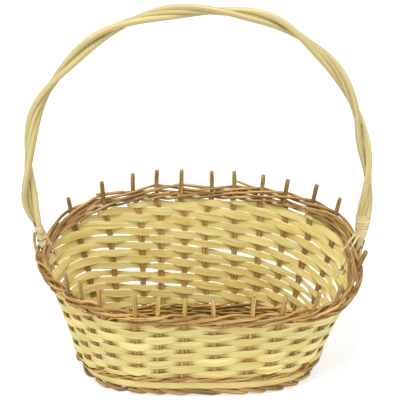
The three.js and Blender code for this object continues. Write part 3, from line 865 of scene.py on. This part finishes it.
def build_border():
    """Two rounds of three-rod wale under the rim, close together at the front and with a
    gap at the back that single rods cross. Thin rods wind between them round the front and
    lie inside the ends, and a few cut ends stand off."""
    names = ["top", "upper", "lower", "bottom"]
    rods = {name: [] for name in names}
    for number in (0, 1):
        for lead in (0, 1, 2):
            post = lap_posts(4.6 + 9.4 * number + 7.2 * lead)
            turn = turn_at(post)
            lower = border_depth(turn) - LOWER_WALE_HEIGHT - LOWER_WALE_MORE_AT_BACK * backness(turn)
            depth = lower if number else UPPER_WALE_DEPTH
            level = rim_top(turn) - depth + drift(post, 700 + number, 5.3, 0.6)
            darker = 1.1 * np.cos(turn) ** 4 - 0.4 * (1 - backness(turn))
            seed = 210 + 10 * number + lead
            rod = waled_rod(lead, level, WALE_SLANT, BORDER_ROD / 2, 1, post, seed, darker)
            rods[names[2 * number + (lead == 2)]].append(rod)
    for lead in (0, 1, 2):
        post = np.linspace(10.6 + 0.7 * lead, 29.2 + 0.6 * lead, 19 * STEPS_PER_POST)
        turn = turn_at(post)
        inner = smooth(10.6, 14, post) * (1 - smooth(26, 29.5, post))
        level = rim_top(turn) - THIN_RODS_DEPTH + THIN_RODS_RISE * inner + drift(post, 720 + lead, 4.1, 0.5)
        darker = 1.1 * np.cos(turn) ** 4 - 0.4
        rod = waled_rod(lead + 0.5, level, 1.2 + 0.8 * inner, THIN_RIM_RADIUS, 1, post, 240 + lead, darker)
        rods["upper"].append(rod)
    for number, (first, last) in enumerate(MIDDLE_RIM_RODS):
        post = posts_between(first, last)
        level = rim_top(turn_at(post)) - MIDDLE_RODS_DEPTH + drift(post, 740 + number, 4.7, 2.2)
        rods["lower"].append(waled_rod(number, level, 1.4, THIN_RIM_RADIUS, 1, post, 244 + number, 0.3))
    for number, (first, last, drop) in enumerate(INNER_RIM_RODS):
        post = posts_between(first, last)
        level = rim_top(turn_at(post)) - drop + drift(post, 730 + number, 2.9, 1.2)
        swing = INNER_RODS_SWING * smooth(0.5, 1, np.cos(np.pi * (post + number)))
        offset = -UPRIGHT_DEPTH / 2 - BORDER_ROD / 2 - 0.2 - swing
        rods["bottom"].append(rod_along(post, level, offset, THIN_RIM_RADIUS, 250 + number, -1.2))
    share = np.linspace(0, 1, LOOSE_END_STEPS)
    for number, (first, last, low, high, near, far) in enumerate(LOOSE_RIM_ENDS):
        post = np.linspace(first, last, LOOSE_END_STEPS)
        level = rim_top(turn_at(post)) + low + (high - low) * share**1.5
        seed = 260 + number
        rod = rod_along(post, level, near + (far - near) * share, LOOSE_END_RADIUS, seed, rod_tone(seed))
        rods["top"].append(rod)
    for name in names:
        make_piece(f"border_rod_{name}", rods[name], [BARK, CUT], [f"rim_rod_{name}"])


# Upsett: middle level of its wale and how far the rods slant.
UPSETT_LEVEL = 23.6
UPSETT_SLANT = 2.1


def build_upsett():
    """One three-rod wale round the wall, just under the first row of chip."""
    for name, leads in (("lower", (0, 1)), ("upper", (2,))):
        strands = []
        for lead in leads:
            post = lap_posts(1.2 + 8.3 * lead)
            level = UPSETT_LEVEL + drift(post, 310 + lead, 4.1, 0.25)
            strands.append(waled_rod(lead, level, UPSETT_SLANT, UPSETT_ROD / 2, 1, post, 310 + lead))
        make_piece(f"upsett_round_{name}", strands, [BARK, CUT], [f"upsett_rod_{name}"])


# Foot: middle level of its wale and how far the rods slant, and the thin rod inside it.
FOOT_LEVEL = 4.7
FOOT_SLANT = 2.4
INNER_FOOT_RADIUS = 2.1
INNER_FOOT_LEVEL = 5.2
INNER_FOOT_OFFSET = -4.6


def build_foot():
    """One three-rod wale that slants the other way, flat where it meets the floor, with a
    thin dark rod inside it."""
    for name, leads in (("1", (0, 1)), ("2", (2,))):
        strands = []
        for lead in leads:
            post = lap_posts(5.2 + 6.1 * lead)
            level = FOOT_LEVEL + drift(post, 330 + lead, 4.1, 0.2)
            strands.append(waled_rod(lead, level, FOOT_SLANT, FOOT_ROD / 2, -1, post, 330 + lead))
        if name == "2":
            post = lap_posts(13.3)
            level = INNER_FOOT_LEVEL + drift(post, 336, 4.1, 0.3)
            strands.append(rod_along(post, level, INNER_FOOT_OFFSET, INNER_FOOT_RADIUS, 336, -1.3))
        for part in strands:
            part["grid"][..., 2] = np.maximum(part["grid"][..., 2], 0)
        make_piece(f"foot_rope_{name}", strands, [BARK, CUT], [f"foot_rod_{name}"])


# Base band: its edges, the distance of its middle from the uprights, its bulge and its joint.
BAND_LOW = 8.4
BAND_HIGH = 20.4
BAND_THICKNESS = 1.0
BAND_CLEARANCE = 1.0
BAND_BELLY = 0.5
BAND_LAP_LIFT = 0.6
BAND_START = 9.5
BAND_LAP = 0.4


def build_band():
    """Wide chip laid round the outside, curving under: points off the wall at several
    heights, outside up and inside down. Its whole inner face has painted shade."""
    heights = np.linspace(BAND_LOW, BAND_HIGH, 8)
    end = BAND_START + BAND_LAP + POSTS
    posts = np.linspace(BAND_START, end, int((POSTS + BAND_LAP) * STEPS_PER_POST))
    turn, z = np.meshgrid(turn_at(posts), heights, indexing="ij")
    place, out = wall_frame(turn, z + drift(posts, 350, 3.7, 0.25)[:, None])[:2]
    belly = BAND_BELLY * (1 - ((z - heights.mean()) / (heights[-1] - heights[0]) * 2) ** 2)
    offset = UPRIGHT_WIDTH / 2 + BAND_CLEARANCE
    lap = BAND_LAP_LIFT * smooth(end - 1.0, end - BAND_LAP, posts)
    outer = place + out * (offset + BAND_THICKNESS / 2 + belly + lap[:, None])[..., None]
    inner = place + out * (offset - BAND_THICKNESS / 2 + belly + lap[:, None])[..., None]
    grid = np.concatenate([outer, inner[:, ::-1]], 1)
    # Painted shade over the inner face of the band, which stands in the shadow of the posts.
    inside = np.tile(np.repeat([0.0, 1.0], len(heights)), (len(grid), 1))
    make_piece("base_band_chip", [strand(grid, 0.1, 351, inside)], [CHIP], ["base_band"])


# Base. The mat's rods are drawn in from the middle of the wall, and have painted shade in the
# dips of their wave.
MAT_LEVEL = 11.1
MAT_ROD = 2.5
MAT_PITCH = 2.45
MAT_WAVE = 0.8
MAT_SHADE = 0.35
MAT_STEPS = 8
MAT_INSET = 2.7
MAT_SLIT_RODS = [-2.3, 0, 2.3]
MAT_SLIT_REACH = 55
MAT_CLIMBING_RODS = 5
STICK_RADIUS = 1.9
STRAIGHT_STEPS = 60


def mat_strand(centre, across, through, wave, tone, seed):
    """Thin rod of the mat, with painted shade in the dips of its wave."""
    radius = cut_ends(np.full(len(centre), MAT_ROD / 2))
    grid = carry(centre, across, through, MAT_PROFILE, radius, radius)
    # Painted shade, darkest where the rod dips lowest.
    dips = np.repeat((MAT_SHADE - MAT_SHADE * wave)[:, None], len(MAT_PROFILE), axis=1)
    return strand(grid, tone, seed, dips)


def mat_ring(number):
    """Oval round of thin rod in the floor: the inner outline of the wall drawn in, up over
    one spoke and down under the next, two rounds alike."""
    inset = MAT_PITCH * number + 1.2
    length_share = 1 - inset / (BODY_HALF_LENGTH - FOOT_INSET_LENGTH - MAT_INSET)
    depth_share = 1 - inset / (BODY_HALF_DEPTH - FOOT_INSET_DEPTH - MAT_INSET)
    post = np.linspace(0, POSTS * 1.003, POSTS * MAT_STEPS + 1)
    place, out = wall_frame(turn_at(post), MAT_LEVEL)[:2]
    centre = (place - out * MAT_INSET) * np.array([length_share, depth_share, 1])
    wave = np.cos(np.pi * (2 * post + number // 2))
    centre[:, 2] = MAT_LEVEL + MAT_WAVE * wave
    ahead = unit(np.gradient(centre, axis=0))
    across = unit(np.cross(ahead, [0.0, 0.0, 1.0]))
    tone = np.random.default_rng(400 + number).uniform(-1, 1)
    return mat_strand(centre, across, np.cross(across, ahead), wave, tone, 400 + number)


def along_x(x, y, z):
    """Path that runs along X, with its two cross directions."""
    steps = len(x)
    path = np.stack([x, y + np.zeros(steps), z + np.zeros(steps)], -1)
    return path, np.tile([0.0, 1.0, 0.0], (steps, 1)), np.tile([0.0, 0.0, 1.0], (steps, 1))


def mat_middle_rod(y, number):
    """Straight rod that closes the slit in the middle of the floor."""
    x = np.linspace(-MAT_SLIT_REACH, MAT_SLIT_REACH, STRAIGHT_STEPS)
    wave = np.cos(np.pi * (x / 9 + number))
    centre, side, up = along_x(x, y, MAT_LEVEL + MAT_WAVE * wave)
    return mat_strand(centre, side, up, wave, 0.3 * number, 470 + number)


def climbing_ring(number):
    """Round of floor rod that climbs the foot of the wall, in and out past the uprights."""
    post = lap_posts(6.3 + 5.1 * number)
    level = 14 + 2.3 * number + 0.4 * np.sin(TURN * post / 1.7)
    offset = -0.6 + 2.4 * np.cos(np.pi * (post + number))
    brown = np.exp(-(((post % POSTS - 5.5) / 2.2) ** 4))
    return rod_along(post, level, offset, MAT_ROD / 2, 440 + number, 0.5 - 2.5 * brown, THIN_PROFILE)


def build_base():
    """The mat in rounds from the wall inwards, and the three sticks under it."""
    rounds = int((BODY_HALF_DEPTH - FOOT_INSET_DEPTH - 5.2) / MAT_PITCH)
    rods = [mat_ring(number) for number in range(rounds)]
    rods += [climbing_ring(number) for number in range(MAT_CLIMBING_RODS)]
    rods += [mat_middle_rod(y, number) for number, y in enumerate(MAT_SLIT_RODS)]
    make_piece("base_weave", rods, [FLOOR_ROD, CUT], ["base_mat"])
    for k in (1, 2, 3):
        low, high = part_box(f"base_stick_{k}")
        middle = np.array((low + high) / 2) / MM - SHIFT
        reach = (high.x - low.x) / 2 / MM
        x = np.linspace(-reach, reach, STRAIGHT_STEPS) + middle[0]
        centre, side, up = along_x(x, middle[1] + drift(x, 450 + k, 120, 0.6), middle[2])
        radius = cut_ends(np.full(STRAIGHT_STEPS, STICK_RADIUS))
        stick = strand(carry(centre, side, up, ROD_PROFILE, radius, radius), 0.2, 450 + k)
        make_piece(f"base_rib_{k}", [stick], [BARK, CUT], [f"base_stick_{k}"])


# Handle.
def smooth_path(points, per_span):
    """Centripetal Catmull-Rom curve through points, sampled evenly in each span."""
    ends = [2 * points[0] - points[1]], [2 * points[-1] - points[-2]]
    guide = np.concatenate([ends[0], points, ends[1]])
    step = np.linalg.norm(np.diff(guide, axis=0), axis=1) ** 0.5
    p0, p1, p2, p3 = guide[:-3], guide[1:-2], guide[2:-1], guide[3:]
    d0, d1, d2 = (step[k : len(step) - 2 + k, None] for k in range(3))
    t1 = ((p1 - p0) / d0 - (p2 - p0) / (d0 + d1) + (p2 - p1) / d1) * d1
    t2 = ((p2 - p1) / d1 - (p3 - p1) / (d1 + d2) + (p3 - p2) / d2) * d1
    t = np.linspace(0, 1, per_span, endpoint=False)[None, :, None]
    p1, p2, t1, t2 = (v[:, None] for v in (p1, p2, t1, t2))
    curve = p1 + t1 * t + (-3 * p1 + 3 * p2 - 2 * t1 - t2) * t**2 + (2 * p1 - 2 * p2 + t1 + t2) * t**3
    return np.concatenate([curve.reshape(-1, 3), points[-1:]])


def handle_path():
    """Middle line of the handle: up the wall at one foot, over a superellipse hoop, and down
    the wall at the other."""
    left = turn_at(LEFT_FOOT)
    right = turn_at(0)
    feet = [
        wall_point(turn, rim_top(turn) - np.array([1, 0.5, 0]) * HANDLE_FOOT_DEPTH) for turn in (left, right)
    ]
    angle = np.linspace(-HOOP_LOW_ANGLE, np.pi + HOOP_LOW_ANGLE, 25)
    rise = signed_power(np.sin(angle), 2 / HOOP_SQUARENESS)
    x = -HOOP_HALF_WIDTH * signed_power(np.cos(angle), 2 / HOOP_SQUARENESS)
    reach = np.where(rise > 0, HOOP_TOP - HOOP_WIDEST_LEVEL, HOOP_LOWER_REACH)
    z = HOOP_WIDEST_LEVEL + rise * reach
    y = HANDLE_LEFT_Y + (HANDLE_RIGHT_Y - HANDLE_LEFT_Y) * (x + HOOP_HALF_WIDTH) / (2 * HOOP_HALF_WIDTH)
    floor = np.where(x < 0, rim_top(left), rim_top(right)) + HOOP_START
    hoop = np.stack([x, y, z], -1)[z > floor]
    return smooth_path(np.concatenate([feet[0], hoop, feet[1][::-1]]), 24)


HANDLE_LINE = handle_path()
HANDLE_LENGTHS = running_length(HANDLE_LINE)
HANDLE_LENGTH = HANDLE_LENGTHS[-1]


def handle_place(length):
    """Place on the middle line of the handle at a length along it."""
    return np.stack([np.interp(length, HANDLE_LENGTHS, HANDLE_LINE[:, k]) for k in range(3)], -1)


def handle_frame(length):
    """Place on the handle, its direction, and two cross directions: to the back and to the
    inside of the hoop. In the weave the first one turns along the wall."""
    ahead = unit(handle_place(length + 2) - handle_place(length - 2))
    from_end = np.minimum(length, HANDLE_LENGTH - length)
    free = smooth(HANDLE_FOOT_DEPTH, 2 * HANDLE_FOOT_DEPTH, from_end)[:, None]
    sides = []
    for foot in (LEFT_FOOT, 0):
        turn = turn_at(foot)
        out = wall_frame(turn, rim_top(turn))[1]
        along = unit(np.cross([0.0, 0.0, 1.0], out))
        sides.append(along if along[1] > 0 else -along)
    foot_side = np.where((length < HANDLE_LENGTH / 2)[:, None], sides[0], sides[1])
    side = foot_side * (1 - free) + np.array([0.0, 1.0, 0.0]) * free
    side = unit(side - ahead * np.sum(side * ahead, -1, keepdims=True))
    inward = np.cross(side, ahead)
    bend = sum(shift * np.exp(-(((length - middle) / reach) ** 2)) for middle, shift, reach in HANDLE_BENDS)
    return handle_place(length) + inward * np.reshape(bend, (-1, 1)), ahead, side, inward


def handle_twist(length):
    """Angle of the bundle, half a turn more at each crossing."""
    marks = np.array(HANDLE_CROSSINGS) * HANDLE_LENGTH / HANDLE_MEASURED_LENGTH
    return -np.pi * np.interp(length, marks, np.arange(len(marks)))


def handle_spread(length):
    """How far the bundle lies flat, with its thin rod between the thick ones: a little all
    over, and most above the left foot."""
    left = smooth(48, 80, length) * (1 - smooth(105, 150, length))
    right = smooth(48, 80, HANDLE_LENGTH - length) * (1 - smooth(85, 120, HANDLE_LENGTH - length))
    return 0.32 + 0.6 * left + 0.1 * right


def bundle_rod(number, seed):
    """Rod of the handle that keeps its place in the twisted bundle: two thick ones side by
    side, thinner in the weave, and a thin one in the groove between them. The top has painted
    shade where the lamp from above lights it most."""
    start = 0 if number < 2 else HANDLE_FOOT_DEPTH + 5
    length = np.linspace(start, HANDLE_LENGTH - start, 420)
    place, _, side, inward = handle_frame(length)
    from_end = np.minimum(length, HANDLE_LENGTH - length)
    spread = handle_spread(length)
    close = (HANDLE_ROD + 0.1) / 2
    wide = (HANDLE_ROD + HANDLE_THIN_ROD) / 2
    pair = close + (wide - close) * spread
    groove = np.minimum(HANDLE_NEST, np.sqrt(np.maximum(0, wide**2 - pair**2)))
    if number < 2:
        angle = handle_twist(length) + np.pi * (1 - number)
        reach = pair
        grown = smooth(HANDLE_FOOT_DEPTH - 6, HANDLE_FOOT_DEPTH + 14, from_end)
        width = HANDLE_FOOT_ROD + (HANDLE_ROD - HANDLE_FOOT_ROD) * grown
    else:
        angle = handle_twist(length) + np.pi / 2
        reach = groove
        width = np.full(len(length), HANDLE_THIN_ROD)
    radius = cut_ends(width * (1 + 0.03 * np.sin(length / 37 + seed)) / 2)
    centre = place + side * (reach * np.cos(angle))[:, None] + inward * (reach * np.sin(angle))[:, None]
    grid = carry(centre, side, inward, round_profile(14), radius, radius)
    # Painted shade: the tone darkens towards the top of the hoop to hold back the stronger light of the lamp
    # above.
    top = np.exp(-(((length - HANDLE_LENGTH / 2) / (0.26 * HANDLE_LENGTH)) ** 2))
    return strand(grid, np.random.default_rng(seed).uniform(-0.4, 0.4) - top, seed)


def build_handle():
    """Two thick rods and the thin one."""
    for k, name in enumerate(["front", "back", "thin"]):
        piece = bundle_rod(k, 500 + k)
        make_piece(f"hoop_rod_{name}", [piece], [PEELED, CUT], [f"handle_rod_{name}"])


# Bindings: end of the handle, length from its foot to the first turn, turns, pitch and width.
SKEIN_THICKNESS = 0.9
LEFT_SKEIN = (0, 38, 3.0, 9.8, 8.8)
RIGHT_SKEIN = (1, 56, 4.6, 6.2, 6.0)
TURN_STEPS = 36

# Laces of the bindings that go down over the border: width, and places of post number, height
# over the rim and offset from the wall.
LACE_THICKNESS = 1.0
LACE_STEPS = 40
LEFT_LACES = [
    (6.0, [(12.5, -15, 7.2), (12.3, -8, 8.2), (12.05, 0, 9), (11.9, 6, 7.5)]),
    (3.6, [(11.98, 2, -8.6), (11.94, -10, -7.2), (11.88, -28, -5.6)]),
]
RIGHT_LACES = [
    (4.4, [(0.05, 12, -7), (0.1, -2, -7.4), (0.2, -24, -6.2)]),
    (4.0, [(-0.12, 12, -6.5), (-0.14, 0, -7), (-0.12, -10, -6)]),
    (3.4, [(-0.1, 8, 4.5), (-0.14, -2, 6.4), (-0.16, -16, 7.6)]),
]


def wound_skein(end, low, turns, pitch, width, seed):
    """Flat ribbon wound as a helix round the handle's bundle, close to its oval section."""
    steps = int(turns * TURN_STEPS) + 1
    angle = TURN * turns * np.linspace(0, 1, steps)
    from_foot = low + pitch * angle / TURN
    length = from_foot if end == 0 else HANDLE_LENGTH - from_foot
    place, ahead, side, inward = handle_frame(length)
    spread = handle_spread(length)
    pair = HANDLE_ROD / 2 + (HANDLE_THIN_ROD / 2) * spread
    long_reach = pair + HANDLE_ROD / 2 + 0.7
    short_reach = np.maximum(HANDLE_ROD / 2, HANDLE_ROD * 0.75 * (1 - spread)) + 0.9
    local = angle - handle_twist(length)
    reach = 1 / np.sqrt((np.cos(local) / long_reach) ** 2 + (np.sin(local) / short_reach) ** 2)
    away = side * np.cos(angle)[:, None] + inward * np.sin(angle)[:, None]
    centre = place + away * reach[:, None]
    half = cut_ends(np.full(steps, width / 2), 0.6)
    grid = carry(centre, ahead, away, flat_profile(), half, np.full(steps, SKEIN_THICKNESS / 2))
    return strand(grid, np.random.default_rng(seed).uniform(-0.5, 0.8), seed)


def wall_lace(width, places, seed):
    """Flat lace laid on the wall in straight lines between its places."""
    guide = np.array(places, float)
    share = np.linspace(0, len(guide) - 1, LACE_STEPS)
    post, over, offset = (np.interp(share, np.arange(len(guide)), guide[:, k]) for k in range(3))
    turn = turn_at(post)
    place, out = wall_frame(turn, rim_top(turn) + over)[:2]
    centre = place + out * offset[:, None]
    ahead = unit(np.gradient(centre, axis=0))
    across = unit(np.cross(ahead, out))
    half = cut_ends(np.full(LACE_STEPS, width / 2), 0.7)
    grid = carry(centre, across, out, flat_profile(), half, np.full(LACE_STEPS, LACE_THICKNESS / 2))
    return strand(grid, 0.3, seed)


def build_bindings():
    """One wound skein and its laces at each foot of the handle."""
    sides = [("left", LEFT_SKEIN, LEFT_LACES, 520), ("right", RIGHT_SKEIN, RIGHT_LACES, 530)]
    for side, skein, laces, seed in sides:
        strands = [wound_skein(*skein, seed)]
        strands += [wall_lace(*lace, seed + number) for number, lace in enumerate(laces, 1)]
        make_piece(f"skein_{side}", strands, [SKEIN], [f"handle_binding_{side}"])


def background_share(tree):
    """1 for what the camera sees directly or in a gloss, and 0 for light on the object."""
    path = add(tree, "ShaderNodeLightPath")
    either = add(
        tree, "ShaderNodeMath", {0: path.outputs["Is Camera Ray"], 1: path.outputs["Is Glossy Ray"]},
        operation="MAXIMUM",
    )
    return add(
        tree, "ShaderNodeMath", {0: either.outputs[0], 1: path.outputs["Is Transmission Ray"]},
        operation="MAXIMUM",
    ).outputs[0]


# Floor of the stage, in metres.
FLOOR_REACH = 6.0
FLOOR_LEVEL = -0.0004


def build_stage():
    """Pale floor that keeps the shadow and a world that shows white."""
    mesh = bpy.data.meshes.new("floor")
    corners = [(-1, -1), (1, -1), (1, 1), (-1, 1)]
    places = [(x * FLOOR_REACH, y * FLOOR_REACH, FLOOR_LEVEL) for x, y in corners]
    mesh.from_pydata(places, [], [(0, 1, 2, 3)])
    floor = bpy.data.objects.new("floor", mesh)
    bpy.context.scene.collection.objects.link(floor)
    material, tree = new_material("white_floor")
    seen = background_share(tree)
    plain = add(tree, "ShaderNodeBsdfDiffuse", {"Color": colour("#ededed")})
    dim = add(tree, "ShaderNodeBsdfDiffuse", {"Color": colour("#a8a8a8")})
    glow = add(tree, "ShaderNodeEmission", {"Strength": 0.68})
    bright = add(tree, "ShaderNodeAddShader", {0: dim.outputs[0], 1: glow.outputs[0]})
    surface = add(tree, "ShaderNodeMixShader", {0: seen, 1: plain.outputs[0], 2: bright.outputs[0]})
    add(tree, "ShaderNodeOutputMaterial", {"Surface": surface.outputs[0]})
    mesh.materials.append(material)

    world = bpy.data.worlds.new("studio")
    bpy.context.scene.world = world
    world.use_nodes = True
    tree = world.node_tree
    tree.nodes.clear()
    soft = add(tree, "ShaderNodeBackground", {"Color": (1, 1, 1, 1), "Strength": 0.8})
    white = add(tree, "ShaderNodeBackground", {"Color": (1, 1, 1, 1), "Strength": 1.0})
    mixed = add(
        tree, "ShaderNodeMixShader", {0: background_share(tree), 1: soft.outputs[0], 2: white.outputs[0]}
    )
    add(tree, "ShaderNodeOutputWorld", {"Surface": mixed.outputs[0]})


def aim(thing, place, target):
    """Puts a camera or lamp in its place and turns its -Z to the target, upright."""
    thing.location = place
    direction = np.array(target) - np.array(place)
    flat = math.hypot(direction[0], direction[1])
    thing.rotation_euler = (math.atan2(flat, -direction[2]), 0, math.atan2(-direction[0], direction[1]))


def build_lamp(name, place, size, energy):
    """Square area lamp, in metres and watts, that shines on the middle of the basket."""
    lamp = bpy.data.lights.new(name, "AREA")
    lamp.size = size
    lamp.energy = energy
    thing = bpy.data.objects.new(name, lamp)
    bpy.context.scene.collection.objects.link(thing)
    aim(thing, place, (0, 0, 0.15))


# Camera of the photograph: degrees above the floor and off the middle of the long side,
# distance in metres, target in design millimetres, and focal length and shifts in pixels.
CAMERA_ELEVATION = 26
CAMERA_AZIMUTH = -0.45
CAMERA_DISTANCE = 2.1
CAMERA_TARGET = [0, 15.08, 200.0]
PICTURE_WIDTH = 400
FOCAL_PIXELS = 1722
SHIFT_PIXELS = (1.73, 8.81)
SENSOR_WIDTH = 36


def build_camera():
    """Camera on a circle round its target, at an elevation and an azimuth."""
    elevation = math.radians(CAMERA_ELEVATION)
    azimuth = math.radians(CAMERA_AZIMUTH)
    target = (CAMERA_TARGET + SHIFT) * MM
    back = -np.array([-math.sin(azimuth), math.cos(azimuth), 0]) * CAMERA_DISTANCE * math.cos(elevation)
    place = target + back + [0, 0, CAMERA_DISTANCE * math.sin(elevation)]
    camera = bpy.data.cameras.new("camera")
    camera.sensor_width = SENSOR_WIDTH
    camera.lens = FOCAL_PIXELS / PICTURE_WIDTH * SENSOR_WIDTH
    camera.shift_x = SHIFT_PIXELS[0] / PICTURE_WIDTH
    camera.shift_y = SHIFT_PIXELS[1] / PICTURE_WIDTH
    thing = bpy.data.objects.new("camera", camera)
    bpy.context.scene.collection.objects.link(thing)
    aim(thing, place, target)
    bpy.context.scene.camera = thing


bpy.context.scene.view_settings.view_transform = "Standard"
build_camera()
build_stage()
build_lamp("key", (-0.4, -0.8, 2.7), 1.4, 60)
build_lamp("fill", (1.6, -1.2, 1.2), 1.6, 4)
build_rows()
build_uprights()
build_border()
build_upsett()
build_band()
build_foot()
build_base()
build_handle()
build_bindings()
